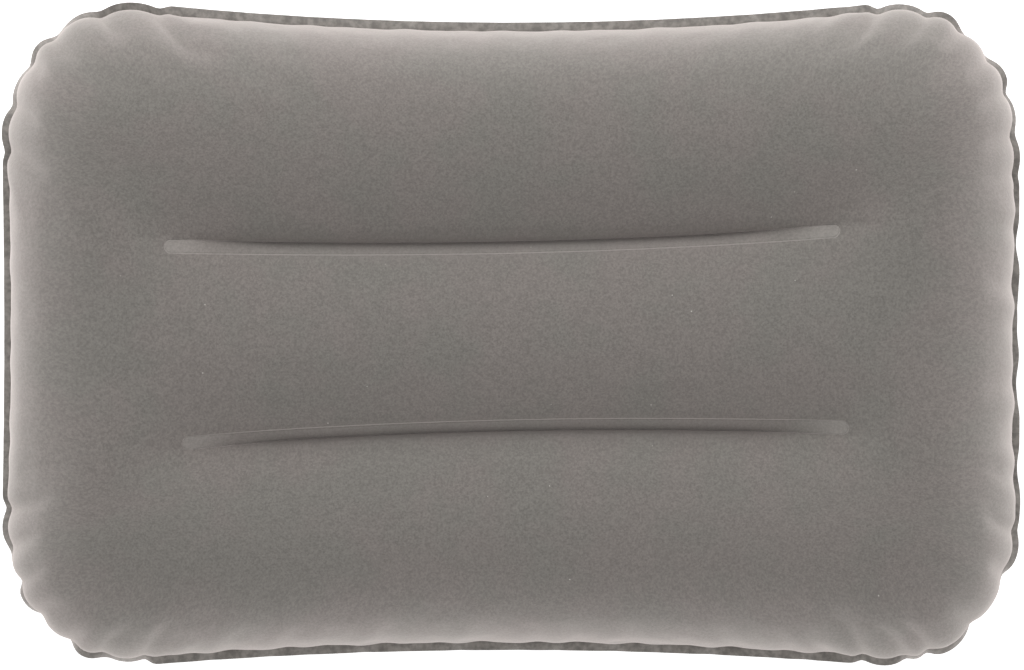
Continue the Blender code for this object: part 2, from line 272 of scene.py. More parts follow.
@dataclass(frozen=True)
class Seam:
    """The weld line once the pillow is blown up: drawn in, gathered at the corners and rippled.

    Attributes:
        plan: its outline seen from above.
        pucker_depth: how far in each notch goes.
        overhang: how far the film swells out past its weld.
        corner_centre: the point each corner's notches are measured round.
        gathers: how much the cloth crowds towards the corners.
        lobe_lift: how far the corners' lobes stand above and below the middle plane, in turn.
        sway_lift: the same for the waves along the sides.
        sway: those waves, as a share of their lift.
        right_wave: how the right side wanders in plan.
    """

    plan: RoundedRectangle = RoundedRectangle(
        422.5 * MM, 275.5 * MM, 56.0 * MM, rear_bow=11.1 * MM, front_bow=8.8 * MM, short_bow=2.0 * MM
    )
    pucker_depth: float = 2.6 * MM
    overhang: float = 2.6 * MM
    corner_centre: tuple[float, float] = (155.0 * MM, 80.5 * MM)
    gathers: float = 0.05
    lobe_lift: float = 2.0 * MM
    sway_lift: float = 0.8 * MM
    sway: Ripple = Ripple(21.0 * MM, 1.0, 5)
    right_wave: Ripple = Ripple(31.0 * MM, 0.8 * MM, 11)

    def lobes(self, points: np.ndarray) -> tuple[np.ndarray, np.ndarray]:
        """Where each point lies between its corner's notches.

        Args:
            points: N by 2, on the smooth outline.

        Returns:
            (bulge, turn): bulge is 0 at a notch and 1 on a lobe or a side; turn is the lobe's number, or -1 on
            a side.
        """
        bulge = np.ones(len(points))
        turn = np.full(len(points), -1)
        for corner, angles in PUCKERS.items():
            sx, sy = corner.value
            away_x = points[:, 0] * sx - self.corner_centre[0]
            away_y = points[:, 1] * sy - self.corner_centre[1]
            angle = np.degrees(np.arctan2(away_y, away_x))
            near = (points[:, 0] * sx > 0.1) & (points[:, 1] * sy > 0.03)
            for number, (low, high) in enumerate(zip(angles[:-1], angles[1:])):
                inside = near & (angle >= low) & (angle < high)
                t = (angle[inside] - low) / (high - low)
                bulge[inside] = 1.0 - np.abs(2.0 * t - 1.0) ** 2.4
                turn[inside] = number
        return bulge, turn

    def build(self, counts: tuple[int, int]) -> dict[str, np.ndarray]:
        """The weld line in space, and what the film does beside it.

        Args:
            counts: the steps along a long side and along a short side.

        Returns:
            "weld", N by 3; "smooth", the line without its notches; "normals", pointing outwards; "bulge", 0 at a
            notch and 1 on a lobe; "hang", how far the film swells out past the weld; "tilt", the flange's slope
            in radians.
        """
        smooth, normals = self.plan.walk(counts, self.gathers)
        bulge, turn = self.lobes(smooth)
        steps = np.linalg.norm(np.diff(smooth, axis=0, append=smooth[:1]), axis=1)
        along = np.concatenate(([0.0], np.cumsum(steps)[:-1]))
        x, y = smooth.T
        on_corner = (turn >= 0).astype(float)
        lively = 0.25 + 0.75 * smoothstep(0.10, 0.17, x) + 0.45 * smoothstep(0.08, 0.12, -y)
        sway = self.sway.at(along) * lively * (1 - on_corner)
        lift = on_corner * self.lobe_lift * bulge * np.where(turn % 2 == 0, 1.0, -1.0) + sway * self.sway_lift
        right = smoothstep(0.19, 0.205, x) * (1 - on_corner)
        inward = (1.0 - bulge) * self.pucker_depth + right * self.right_wave.at(along)
        weld = np.column_stack((smooth - normals * inward[:, None], MID_PLANE + lift))
        ends = smoothstep(0.19, 0.205, np.abs(x))
        hang = self.overhang * (1.0 + 0.35 * ends * (1 - on_corner) + 0.25 * sway) * (0.55 + 0.45 * bulge)
        diagonal = np.exp(-(((np.abs(normals[:, 0]) - 0.72) / 0.24) ** 2)) * on_corner
        down = 0.20 + 0.80 * diagonal + 0.45 * on_corner * smoothstep(0.0, 0.1, -y)
        tilt = -(down + 0.35 * sway + 0.35 * on_corner * np.where(turn % 2 == 0, -1.0, 1.0))
        return dict(weld=weld, smooth=smooth, normals=normals, bulge=bulge, hang=hang, tilt=tilt)


# ---------------------------------------------------------------- inflation


@dataclass
class Inflation:
    """The two panels and the baffles as one cloth, swollen from their formed shape with the weld line pinned.

    Attributes:
        pattern: the cut.
        seam: the weld line's final shape.
        frames: how long the cloth is simulated.
        pressure: the air's push.
        tension: how hard the film resists stretching.
        compression: how hard it resists shrinking.
        bending: how hard it resists folding.
        strip_rows: cells up each baffle.
        fold_steps: where the rows beside a fold lie, towards the weld band's side.
        lobe_radius: the height of the outer lobes and the nose over the middle plane.
        middle_height: the middle lobe's height.
        fold_height: the folds' height.
        apex: where the nose's curve starts, in plan.
        shrink: the share of the cut's length and width left in plan once the lobes have drawn it in.
        end_spread: how much less the rows are drawn in towards the folds' ends, 150 mm from the middle.
        pinch: how far in a corner's notches reach, as a share of the inset.
        swell: how far in the film swells out most past the weld, as a share of the inset.
        flat: each point's place on the cut.
        start: its place before the simulation.
        cells: the faces of each panel and baffle.
        folds: the edges where each baffle is welded to the panels.
        lines: what the seam says of each point of the weld line.
        weld: the weld line's point numbers.
    """

    pattern: Pattern
    seam: Seam
    frames: int = 18
    pressure: float = 20.0
    tension: float = 3.0
    compression: float = 1.0
    bending: float = 0.3
    strip_rows: int = 8
    fold_steps: tuple[float, ...] = (-7.0 * MM, -3.2 * MM, -1.2 * MM, 0.0, 3.0 * MM, 6.0 * MM, 10.0 * MM)
    lobe_radius: float = 45.8 * MM
    middle_height: float = 46.2 * MM
    fold_height: float = 31.5 * MM
    apex: tuple[float, float] = (160.0 * MM, 79.5 * MM)
    shrink: tuple[float, float] = (0.935, 0.887)
    end_spread: float = 0.10
    pinch: float = 0.20
    swell: float = 0.13
    flat: list[tuple[float, float, float]] = field(default_factory=list)
    start: list[tuple[float, float, float]] = field(default_factory=list)
    cells: dict[str, list[tuple[int, ...]]] = field(default_factory=dict)
    folds: dict[str, list[tuple[int, int]]] = field(default_factory=dict)
    lines: dict[str, np.ndarray] = field(default_factory=dict)
    weld: list[int] = field(default_factory=list)

    def _add(self, flat: Sequence[float], start: Sequence[float]) -> int:
        """A point's place in the cut and at the start of the simulation; returns its number."""
        self.flat.append((float(flat[0]), float(flat[1]), float(flat[2])))
        self.start.append((float(start[0]), float(start[1]), float(start[2])))
        return len(self.flat) - 1

    def _counts(self) -> tuple[int, int]:
        """Cells along the inner grid's two sides."""
        inner_x = self.pattern.length - 2 * self.pattern.inset
        inner_y = self.pattern.width - 2 * self.pattern.inset
        return round(inner_x / self.pattern.cell), round(inner_y / self.pattern.cell)

    def _rows(self, count: int) -> tuple[np.ndarray, list[int]]:
        """The inner grid's rows across the flat pattern, with one on each baffle's weld.

        Args:
            count: the cells across.

        Returns:
            (the rows' places, the row number of each baffle).
        """
        half = self.pattern.width / 2 - self.pattern.inset
        even = np.linspace(-half, half, count + 1)
        numbers, places = [0], [-half]
        slots: dict[float, int] = {}
        for baffle in sorted(self.pattern.baffles, key=lambda found: found.row):
            slot = int(np.argmin(np.abs(even - baffle.row)))
            slots[baffle.row] = slot
            close = sorted(step * baffle.side for step in self.fold_steps)
            nearest = close.index(0.0)
            numbers += [slot + k - nearest for k in range(len(close))]
            places += [baffle.row + step for step in close]
        rows = np.interp(np.arange(count + 1), [*numbers, count], [*places, half])
        return rows, [slots[baffle.row] for baffle in self.pattern.baffles]

    def _skew(self, x: np.ndarray | float, y: np.ndarray | float) -> np.ndarray:
        """How far the rows near the baffles lean on the cut, fading out towards the inner grid's edge."""
        half = self.pattern.width / 2 - self.pattern.inset
        slope = self.pattern.baffles[0].slope
        return slope * np.asarray(x) * (1.0 - smoothstep(0.45 * half, half, np.abs(y)))

    def _rise(self, x: float, y: float) -> float:
        """The formed height over the middle plane: three lobes that merge into one round nose at each end."""
        lobe = self.lobe_radius
        past_x, past_y = max(0.0, abs(x) - self.apex[0]), max(0.0, abs(y) - self.apex[1])
        baffle = self.pattern.baffles[0 if y > 0 else 1]
        weld = abs(self._plan_y(baffle.row + baffle.slope * x, x))
        if abs(y) < weld:
            drop = self.middle_height - self.fold_height
            radius = (weld**2 + drop**2) / (2.0 * drop)
            section = self.middle_height - radius + math.sqrt(radius**2 - y * y)
        else:
            away = (self.apex[1] - abs(y)) / (self.apex[1] - weld)
            deepest = math.sqrt(lobe**2 - self.fold_height**2)
            section = math.sqrt(lobe**2 - (away * deepest) ** 2) if away > 0 else lobe
        fade = min(1.0, abs(x) / self.apex[0]) ** 6
        nose = lobe - math.sqrt(max(1e-6, lobe**2 - past_x**2 - past_y**2))
        return lobe + (1.0 - fade) * (section - lobe) - nose

    def _plan_y(self, flat_y: float, x: float) -> float:
        """Where a row of the cut comes to lie once the lobes have drawn it in, which is least near the ends."""
        near_folds = 1.0 - float(smoothstep(50.0 * MM, 100.0 * MM, abs(flat_y)))
        return (self.shrink[1] + self.end_spread * (x / (150.0 * MM)) ** 2 * near_folds) * flat_y

    def _panel(self, name: str, sign: int, seam: np.ndarray, weld: list[int]) -> list[list[int]]:
        """One panel's points and cells.

        Args:
            name: "top" or "bottom".
            sign: 1 for the top panel.
            seam: the weld line, N by 3.
            weld: the weld line's point numbers, shared by both panels.

        Returns:
            The inner grid's point numbers, by column and row.
        """
        pattern = self.pattern
        nx, ny = self._counts()
        columns = np.linspace(-1.0, 1.0, nx + 1) * (pattern.length / 2 - pattern.inset)
        rows, _ = self._rows(ny)
        grid: list[list[int]] = []
        for x in columns:
            line: list[int] = []
            for y in rows:
                flat_y = y + float(self._skew(x, y))
                plan_x, plan_y = self.shrink[0] * x, self._plan_y(flat_y, x)
                rise = sign * self._rise(plan_x, plan_y)
                cut = (x, flat_y, MID_PLANE + sign * LAYER)
                line.append(self._add(cut, (plan_x, plan_y, MID_PLANE + rise)))
            grid.append(line)
        rim = [(i, 0) for i in range(nx)] + [(nx, j) for j in range(ny)]
        rim += [(i, ny) for i in range(nx, 0, -1)] + [(0, j) for j in range(ny, 0, -1)]
        inner = [grid[i][j] for i, j in rim]
        inner_flat = self._doubled(np.array([self.flat[n] for n in inner]))
        inner_start = self._doubled(np.array([self.start[n] for n in inner]))
        weld_flat = np.array([self.flat[n] for n in weld])
        faces: list[tuple[int, ...]] = []
        previous = weld
        for depth in pattern.fine_rings:
            ring = self._ring(depth / pattern.inset, weld_flat, inner_flat, seam, inner_start, 1)
            faces += self._strip(previous, ring)
            previous = ring
        for depth in pattern.coarse_rings:
            lines = (weld_flat[::2], inner_flat[::2], seam[::2], inner_start[::2])
            ring = self._ring(depth / pattern.inset, *lines, 2)
            faces += self._strip(previous, ring)
            previous = ring
        faces += self._strip(previous, inner)
        for i in range(nx):
            for j in range(ny):
                faces.append((grid[i][j], grid[i + 1][j], grid[i + 1][j + 1], grid[i][j + 1]))
        self.cells[name] = faces if sign > 0 else [face[::-1] for face in faces]
        return grid

    @staticmethod
    def _doubled(points: np.ndarray) -> np.ndarray:
        """A closed line with a point added half way along each step."""
        halves = (points + np.roll(points, -1, axis=0)) / 2
        return np.stack((points, halves), axis=1).reshape(-1, points.shape[1])

    def _ring(
        self,
        share: float,
        weld_flat: np.ndarray,
        inner_flat: np.ndarray,
        weld: np.ndarray,
        inner: np.ndarray,
        step: int,
    ) -> list[int]:
        """A ring of points between the weld line and the inner grid, set on the nose's arc.

        Args:
            share: how far in it lies, from 0 at the weld line to 1 at the inner grid.
            weld_flat: the weld line in the cut.
            inner_flat: the inner grid's rim in the cut.
            weld: the weld line in space.
            inner: the inner grid's rim in space.
            step: 1 for a closely stepped ring, 2 for one with half as many points.

        Returns:
            The ring's point numbers.
        """
        flat = weld_flat * (1 - share) + inner_flat * share
        flat[:, 2] = inner_flat[:, 2]
        names = ("smooth", "bulge", "normals", "hang")
        smooth, bulge, normals, hang = (self.lines[name][::step] for name in names)
        fading = float(1.0 - smoothstep(self.swell, 0.85, share))
        swell = math.sin(min(share / self.swell, 1.0) * math.pi / 2) * fading
        pinch = math.exp(-share / self.pinch)
        numbers: list[int] = []
        for k in range(len(flat)):
            rise = inner[k, 2] - MID_PLANE
            last = math.asin(min(1.0, abs(rise) / self.lobe_radius))
            angle = share * last
            across = (math.cos(angle) - math.cos(last)) / (1.0 - math.cos(last))
            plan = inner[k, :2] + (smooth[k] - inner[k, :2]) * across
            plan = plan + normals[k] * (hang[k] * swell - (1.0 - bulge[k]) * self.seam.pucker_depth * pinch)
            height = MID_PLANE + rise * math.sin(angle) / math.sin(last)
            height += (weld[k, 2] - MID_PLANE) * pinch * (1 - share)
            numbers.append(self._add(flat[k], (plan[0], plan[1], height)))
        return numbers

    @staticmethod
    def _strip(outer: list[int], inner: list[int]) -> list[tuple[int, ...]]:
        """The cells between two rings.

        Args:
            outer: the outer ring's point numbers.
            inner: the inner ring's, as many or half as many.

        Returns:
            Four-sided cells, or three triangles a step where the inner ring has half the points.
        """
        faces: list[tuple[int, ...]] = []
        count = len(inner)
        for k in range(count):
            after = (k + 1) % count
            if len(outer) == count:
                faces.append((outer[k], outer[after], inner[after], inner[k]))
                continue
            a, b, c = outer[2 * k], outer[2 * k + 1], outer[(2 * k + 2) % len(outer)]
            faces.append((a, b, inner[k]))
            faces.append((b, inner[after], inner[k]))
            faces.append((b, c, inner[after]))
        return faces

    def build(self) -> None:
        """Lays out the cut and the formed shape of every panel and strip."""
        nx, ny = self._counts()
        counts = (2 * nx, 2 * ny)
        pattern = self.pattern
        outline = RoundedRectangle(pattern.length, pattern.width, pattern.corner_radius)
        cut, _ = outline.walk(counts)
        self.lines = self.seam.build(counts)
        seam = self.lines["weld"]
        self.weld = [self._add((*cut[k], MID_PLANE), seam[k]) for k in range(len(cut))]
        top = self._panel("top", 1, seam, self.weld)
        bottom = self._panel("bottom", -1, seam, self.weld)
        columns = np.linspace(-1.0, 1.0, nx + 1) * (pattern.length / 2 - pattern.inset)
        _, slots = self._rows(ny)
        for baffle, row in zip(pattern.baffles, slots):
            inside = [i for i in range(nx + 1) if baffle.start <= columns[i] <= baffle.end]
            levels = [[top[i][row] for i in inside]]
            for step in range(1, self.strip_rows):
                t = step / self.strip_rows
                level: list[int] = []
                for i in inside:
                    high, low = top[i][row], bottom[i][row]
                    start = [a * (1 - t) + b * t for a, b in zip(self.start[high], self.start[low])]
                    level.append(self._add(self.flat[high], start))
                levels.append(level)
            levels.append([bottom[i][row] for i in inside])
            self.cells[baffle.name] = [
                (upper[k], upper[k + 1], lower[k + 1], lower[k])
                for upper, lower in zip(levels[:-1], levels[1:])
                for k in range(len(inside) - 1)
            ]
            edges = (levels[0], levels[-1])
            self.folds[baffle.name] = [pair for edge in edges for pair in zip(edge[:-1], edge[1:])]

    def settle(self, skip: bool) -> np.ndarray:
        """Runs the cloth.

        Args:
            skip: leaves the formed shape as it is.

        Returns:
            Every point's place, N by 3.
        """
        if skip:
            return np.array(self.start)
        every = [face for faces in self.cells.values() for face in faces]
        mesh = bpy.data.meshes.new("cloth")
        mesh.from_pydata(self.start, [], every)
        cloth = linked("cloth", mesh)
        pinned = cloth.vertex_groups.new(name="pinned")
        pinned.add(self.weld, 1.0, "REPLACE")
        pushed = cloth.vertex_groups.new(name="pushed")
        panels = {n for name in ("top", "bottom") for face in self.cells[name] for n in face}
        pushed.add(sorted(panels), 1.0, "REPLACE")
        modifier = cloth.modifiers.new("cloth", "CLOTH")
        settings = modifier.settings
        settings.quality = 8
        settings.mass = 0.02
        settings.tension_stiffness = self.tension
        settings.compression_stiffness = self.compression
        settings.shear_stiffness = 0.6 * self.tension
        settings.bending_stiffness = self.bending
        settings.tension_damping = settings.compression_damping = settings.shear_damping = 5.0
        settings.bending_damping = 0.5
        settings.air_damping = 1.0
        settings.use_pressure = True
        settings.uniform_pressure_force = self.pressure
        settings.vertex_group_pressure = "pushed"
        settings.vertex_group_mass = "pinned"
        settings.pin_stiffness = 1.0
        settings.effector_weights.gravity = 0.0
        modifier.collision_settings.use_collision = False
        modifier.collision_settings.use_self_collision = False
        modifier.point_cache.frame_start = 1
        modifier.point_cache.frame_end = self.frames
        scene = bpy.context.scene
        for frame in range(1, self.frames + 1):
            scene.frame_set(frame)
        found = cloth.evaluated_get(bpy.context.evaluated_depsgraph_get()).data
        points = vectors(found.vertices, "co").astype(float)
        bpy.data.objects.remove(cloth)
        bpy.data.meshes.remove(mesh)
        scene.frame_set(1)
        return points


# ---------------------------------------------------------------- finishes


PVC_IOR = 1.53
EASED = {"interpolation_type": "SMOOTHSTEP"}
BLEND = {"data_type": "RGBA"}
BLENDED = 2


def linear(code: str) -> tuple[float, float, float, float]:
    """An sRGB hex colour as linear RGBA.

    Args:
        code: a # and six hex digits.

    Returns:
        Four numbers from 0 to 1, the last of them 1.
    """
    channels = (int(code[i : i + 2], 16) / 255 for i in (1, 3, 5))
    red, green, blue = (c / 12.92 if c <= 0.04045 else ((c + 0.055) / 1.055) ** 2.4 for c in channels)
    return red, green, blue, 1.0


def plug(tree: bpy.types.NodeTree, node: bpy.types.Node, inputs: dict[Any, Any] | Sequence[Any]) -> None:
    """Sets or links a node's inputs.

    Args:
        tree: the node's tree.
        node: the node.
        inputs: a value, or another node's output, for each input: by name or number, or in order.
    """
    for name, value in inputs.items() if isinstance(inputs, dict) else enumerate(inputs):
        if isinstance(value, bpy.types.NodeSocket):
            tree.links.new(value, node.inputs[name])
        else:
            node.inputs[name].default_value = value


def add_node(
    tree: bpy.types.NodeTree,
    kind: str,
    inputs: dict[Any, Any] | Sequence[Any] = (),
    output: int | str = 0,
    **settings: Any,
) -> bpy.types.NodeSocket:
    """Adds a node.

    Args:
        tree: where it goes.
        kind: its class, without the leading "ShaderNode".
        inputs: what goes into it, as plug takes it.
        output: the name or number of the output to give back.
        settings: the node's own properties.

    Returns:
        That output.
    """
    made = tree.nodes.new("ShaderNode" + kind)
    for name, value in settings.items():
        setattr(made, name, value)
    plug(tree, made, inputs)
    return made.outputs[output]


def blotches(place: Any, spacing: float, detail: float, roughness: float) -> dict[str, Any]:
    """What a noise texture takes to draw blotches this many metres apart."""
    return {"Vector": place, "Scale": 1 / spacing, "Detail": detail, "Roughness": roughness}


class Shading:
    """A material being written: its node tree and its Principled shader."""

    def __init__(self, name: str) -> None:
        """Starts a material of that name."""
        self.material = bpy.data.materials.new(name)
        self.material.use_nodes = True
        self.add = partial(add_node, self.material.node_tree)

    def set(self, **inputs: Any) -> bpy.types.Material:
        """Sets the shader's inputs, by name with underscores for spaces, and returns the material."""
        tree = self.material.node_tree
        shader = next(node for node in tree.nodes if node.type == "BSDF_PRINCIPLED")
        plug(tree, shader, {name.replace("_", " "): value for name, value in inputs.items()})
        return self.material


@dataclass(frozen=True)
class FlockedPvc:
    """Electrostatic flock: half-millimetre rayon fibres standing in glue on PVC film.

    The upright fibres scatter light at a glance, so the rim glows; face on, the nap looks matt and finely
    speckled. A heated bar crushes them flat: a little paler along the weld bands, most at their ends, and
    smoother and blotchy on the flange. The thin paler line along each band's edge is a painted highlight, set
    in a shallow groove of the bump.

    Attributes:
        warm: the nap's redder tone.
        cool: its greener tone.
        lint_and_highlight: stray pale fibres, the crush along the bands, and the band edges' painted highlight.
        crushed: the flange's flattened flock.
        glow: the light that the fibre tips scatter.
        sheen: how much they scatter.
        sheen_roughness: how widely.
        tuft: the spacing of the nap's light and dark tufts.
        blotch: the spacing of its broad blotches.
        lint_spacing: the spacing of the places where a stray fibre may lie.
        crush_blotch: the spacing of the flange's blotches.
        relief: the depth of the nap and of the pressed bands.
        band_width: the width of a weld band.
        pressed_end: how far in from its ends a band is pressed hard.
        band_edge: half the width of a band's soft edge.
    """

    warm: str = "#6D6864"
    cool: str = "#696762"
    lint_and_highlight: str = "#B9B5B0"
    crushed: str = "#7E7A75"
    glow: str = "#F7EDE9"
    sheen: float = 1.0
    sheen_roughness: float = 0.6
    # One fibre is 0.02 mm thick, too fine to show, so the nap is drawn as tufts of them.
    tuft: float = 0.9 * MM
    blotch: float = 34.0 * MM
    lint_spacing: float = 9.0 * MM
    crush_blotch: float = 3.2 * MM
    relief: float = 0.22 * MM
    band_width: float = 6.0 * MM
    pressed_end: float = 26.0 * MM
    band_edge: float = 0.35 * MM

    def _weld_band(self, look: Shading, place: Any, baffle: Baffle) -> tuple[Any, Any]:
        """A baffle's weld band.

        Args:
            look: the material.
            place: where on the cut.
            baffle: the strip under the band.

        Returns:
            (the distance outside the band in metres, negative within it; a number that rises to 1 at its ends).
        """
        x = look.add("SeparateXYZ", (place,))
        y = x.node.outputs[1]
        half = self.band_width / 2
        centre, reach = (baffle.start + baffle.end) / 2, (baffle.end - baffle.start) / 2
        row = baffle.row + baffle.side * half
        middle = look.add("Math", (x, baffle.slope, row), operation="MULTIPLY_ADD")
        across = look.add("Math", (y, middle), operation="SUBTRACT")
        along = look.add("Math", (look.add("Math", (x, centre), operation="SUBTRACT"),), operation="ABSOLUTE")
        past = look.add("Math", (along, reach), operation="SUBTRACT")
        ends = look.add("MapRange", (past, -self.pressed_end, 0.0), **EASED)
        past = look.add("Math", (past, 0.0), operation="MAXIMUM")
        squares = look.add("Math", (across, across), operation="MULTIPLY")
        squares = look.add("Math", (past, past, squares), operation="MULTIPLY_ADD")
        away = look.add("Math", (squares,), operation="SQRT")
        return look.add("Math", (away, half), operation="SUBTRACT"), ends

    def _nap(self, look: Shading, place: Any, fibres: Any) -> bpy.types.NodeSocket:
        """The upright flock's colour: broad blotches, tufts, and a stray pale fibre here and there."""
        mottle = look.add("TexNoise", blotches(place, self.blotch, 3.0, 0.55))
        share = look.add("MapRange", (mottle, 0.36, 0.64), **EASED)
        colour = look.add("Mix", {0: share, 6: linear(self.warm), 7: linear(self.cool)}, BLENDED, **BLEND)
        shade = look.add("MapRange", (fibres, 0.28, 0.72, 0.72, 1.28), **EASED)
        colour = look.add("VectorMath", {0: colour, "Scale": shade}, operation="SCALE")
        places = look.add("TexVoronoi", {"Vector": place, "Scale": 1 / self.lint_spacing}, "Color")
        chosen = look.add("MapRange", (look.add("SeparateXYZ", (places,)), 0.80, 0.82), **EASED)
        near = look.add("MapRange", (places.node.outputs["Distance"], 0.045, 0.02), **EASED)
        stray = look.add("Math", (chosen, near), operation="MULTIPLY")
        return look.add("Mix", {0: stray, 6: colour, 7: linear(self.lint_and_highlight)}, BLENDED, **BLEND)

    def build(self, baffles: Iterable[Baffle]) -> bpy.types.Material:
        """The top panel's material.

        Args:
            baffles: the strips whose weld bands show, at their places in the cut.

        Returns:
            The material.
        """
        look = Shading("flocked_pvc")
        place = look.add("Attribute", output="Vector", attribute_name=FLAT_ATTRIBUTE)
        rim = look.add("Attribute", output="Fac", attribute_name=RIM_ATTRIBUTE)
        fibres = look.add("TexNoise", blotches(place, self.tuft, 3.0, 0.7))
        nap = self._nap(look, place, fibres)
        on_flange = look.add("MapRange", (rim, 0.1 * MM, 0.5 * MM), **EASED)
        crush = blotches(place, self.crush_blotch, 3.0, 0.6)
        tone = look.add("MapRange", (look.add("TexNoise", crush), 0.3, 0.7, 0.70, 1.35), **EASED)
        crushed = look.add("VectorMath", {0: linear(self.crushed)[:3], "Scale": tone}, operation="SCALE")
        colour = look.add("Mix", {0: on_flange, 6: nap, 7: crushed}, BLENDED, **BLEND)
        press: Any = 0.0
        line: Any = 0.0
        shine: Any = 0.0
        for baffle in baffles:
            outside, ends = self._weld_band(look, place, baffle)
            within = look.add("MapRange", (outside, self.band_edge, -self.band_edge), **EASED)
            press = look.add("Math", (press, within), operation="MAXIMUM")
            paler = look.add("MapRange", (ends, 0.0, 1.0, 0.07, 0.20), **EASED)
            paler = look.add("Math", (within, paler), operation="MULTIPLY")
            shine = look.add("Math", (shine, paler), operation="MAXIMUM")
            # A thin paler line along each band's edge: a painted highlight, and a shallow groove in the bump.
            edge = look.add("Math", (outside, 0.15 * MM), operation="ADD")
            edge = look.add("Math", (edge,), operation="ABSOLUTE")
            thin = look.add("MapRange", (edge, 0.45 * MM, 0.05 * MM), **EASED)
            line = look.add("Math", (line, thin), operation="MAXIMUM")
        sunk = look.add("Math", (press, line), operation="ADD")
        pressed = look.add("Math", (sunk, -0.8), operation="MULTIPLY")
        height = look.add("Math", (fibres, 0.35, pressed), operation="MULTIPLY_ADD")
        # The thin line's paleness is a painted highlight; the bands' own paleness is crushed flock.
        paler = look.add("Math", (line, 0.05), operation="MULTIPLY")
        paler = look.add("Math", (paler, shine), operation="MAXIMUM")
        return look.set(
            Base_Color=look.add("Mix", {0: paler, 6: colour, 7: linear(self.lint_and_highlight)}, BLENDED, **BLEND),
            Roughness=look.add("MapRange", (on_flange, 0.0, 1.0, 0.95, 0.5), **EASED),
            Specular_IOR_Level=0.25,
            Sheen_Weight=self.sheen,
            Sheen_Roughness=self.sheen_roughness,
            Sheen_Tint=linear(self.glow),
            Normal=look.add("Bump", {"Strength": 1.0, "Distance": self.relief, "Height": height}),
        )


@dataclass(frozen=True)
class PlainPvc:
    """Calendered PVC film, embossed with a fine grain: dark and satin, with soft broad highlights.

    Attributes:
        tone: its colour.
        worn: its paler patches.
        cloud: the spacing of those patches.
        grain: the spacing of the embossed cells.
        emboss: their depth.
    """

    tone: str = "#55534F"
    worn: str = "#5D5B57"
    cloud: float = 26.0 * MM
    grain: float = 0.8 * MM
    emboss: float = 0.05 * MM

    def build(self) -> bpy.types.Material:
        """The underside's material."""
        look = Shading("plain_pvc")
        place = look.add("Attribute", output="Vector", attribute_name=FLAT_ATTRIBUTE)
        cells = look.add("TexVoronoi", {"Vector": place, "Scale": 1 / self.grain}, "Distance")
        cloudy = look.add("TexNoise", blotches(place, self.cloud, 3.0, 0.5))
        share = look.add("MapRange", (cloudy, 0.35, 0.65), **EASED)
        colour = look.add("Mix", {0: share, 6: linear(self.tone), 7: linear(self.worn)}, BLENDED, **BLEND)
        return look.set(
            Base_Color=colour,
            Roughness=look.add("MapRange", (cloudy, 0.3, 0.7, 0.42, 0.52), **EASED),
            IOR=PVC_IOR,
            Normal=look.add("Bump", {"Strength": 1.0, "Distance": self.emboss, "Height": cells}),
        )


@dataclass(frozen=True)
class BaffleFilm:
    """Thin calendered PVC film, cut from a roll and left plain: an even satin grey, faintly clouded.

    Attributes:
        tone: its colour.
        haze: its paler patches.
        cloud: the spacing of those patches.
    """

    tone: str = "#8A8884"
    haze: str = "#94928E"
    cloud: float = 12.0 * MM

    def build(self) -> bpy.types.Material:
        """The baffles' material."""
        look = Shading("baffle_film")
        place = look.add("TexCoord", output="Object")
        cloudy = look.add("TexNoise", blotches(place, self.cloud, 2.0, 0.5))
        colour = look.add("Mix", {0: cloudy, 6: linear(self.tone), 7: linear(self.haze)}, BLENDED, **BLEND)
        return look.set(Base_Color=colour, Roughness=0.45, IOR=PVC_IOR)


@dataclass(frozen=True)
class MouldedPvc:
    """Soft injection-moulded PVC: an even dark grey with a faint bloom and a rounded, satin highlight.

    Attributes:
        tone: its colour.
        bloom: the paler film that plasticiser leaves on it.
        cloud: the spacing of the bloom's patches.
        spark: the spacing of the mould's eroded texture.
        spark_depth: the depth of that texture.
    """

    tone: str = "#484643"
    bloom: str = "#54514E"
    cloud: float = 4.0 * MM
    spark: float = 0.35 * MM
    spark_depth: float = 0.02 * MM

    def build(self) -> bpy.types.Material:
        """The valve's material."""
        look = Shading("moulded_pvc")
        place = look.add("TexCoord", output="Object")
        cloudy = look.add("TexNoise", blotches(place, self.cloud, 4.0, 0.5))
        fine = look.add("TexNoise", blotches(place, self.spark, 2.0, 0.5))
        share = look.add("MapRange", (cloudy, 0.35, 0.65), **EASED)
        colour = look.add("Mix", {0: share, 6: linear(self.tone), 7: linear(self.bloom)}, BLENDED, **BLEND)
        return look.set(
            Base_Color=colour,
            Roughness=look.add("MapRange", (cloudy, 0.3, 0.7, 0.38, 0.5), **EASED),
            IOR=PVC_IOR,
            Normal=look.add("Bump", {"Strength": 1.0, "Distance": self.spark_depth, "Height": fine}),
        )


@dataclass(frozen=True)
class FlapFilm:
    """Thin clear PVC film gone milky: light passes through it, softly blurred.

    Attributes:
        tone: its colour.
        haze: its darker patches.
        cloud: the spacing of those patches.
    """

    tone: str = "#C9C7C2"
    haze: str = "#BDBBB6"
    cloud: float = 3.0 * MM

    def build(self) -> bpy.types.Material:
        """The check flap's material."""
        look = Shading("flap_film")
        place = look.add("TexCoord", output="Object")
        cloudy = look.add("TexNoise", blotches(place, self.cloud, 2.0, 0.5))
        colour = look.add("Mix", {0: cloudy, 6: linear(self.tone), 7: linear(self.haze)}, BLENDED, **BLEND)
        return look.set(Base_Color=colour, Roughness=0.3, IOR=PVC_IOR, Transmission_Weight=0.35)


# ---------------------------------------------------------------- the soft pieces


def linked(name: str, data: bpy.types.ID) -> bpy.types.Object:
    """A new object in the scene, holding a mesh, a lamp or a camera."""
    made = bpy.data.objects.new(name, data)
    bpy.context.scene.collection.objects.link(made)
    return made


